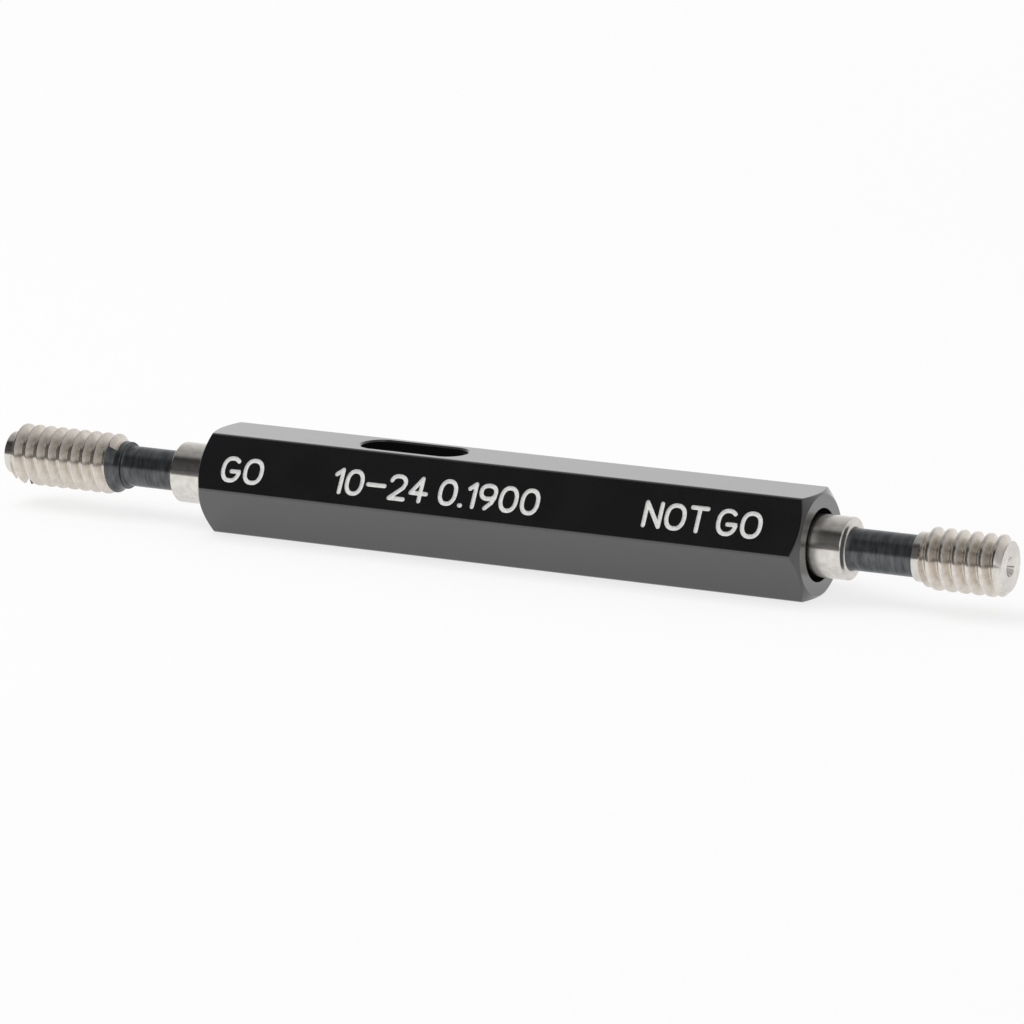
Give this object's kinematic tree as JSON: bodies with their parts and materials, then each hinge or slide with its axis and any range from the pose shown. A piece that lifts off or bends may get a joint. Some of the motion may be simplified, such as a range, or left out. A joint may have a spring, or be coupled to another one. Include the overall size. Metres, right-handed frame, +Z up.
{
  "type": "thread plug gauge",
  "caption": "Double-end thread plug gauge: hexagonal black handle with tapered sockets, a longer GO screw plug in one end and a shorter NOT GO plug in the other.",
  "frame": {"origin": "centre of the handle's lower flat", "axes": "+X along the gauge towards the NOT GO end, +Y across the handle, +Z up, square to the lower flat"},
  "size_m": [0.086, 0.009, 0.0079],
  "materials": {
    "black_anodised_aluminium": "satin black anodised",
    "ground_tool_steel": "finely ground",
    "blackened_steel": "black heat-treat skin, turned",
    "engraving_paint": "white paint wiped into the engraving"
  },
  "bodies": {
    "root": {"handle": "black_anodised_aluminium", "go_member": "ground_tool_steel", "not_go_member": "ground_tool_steel"}
  },
  "joints": []
}
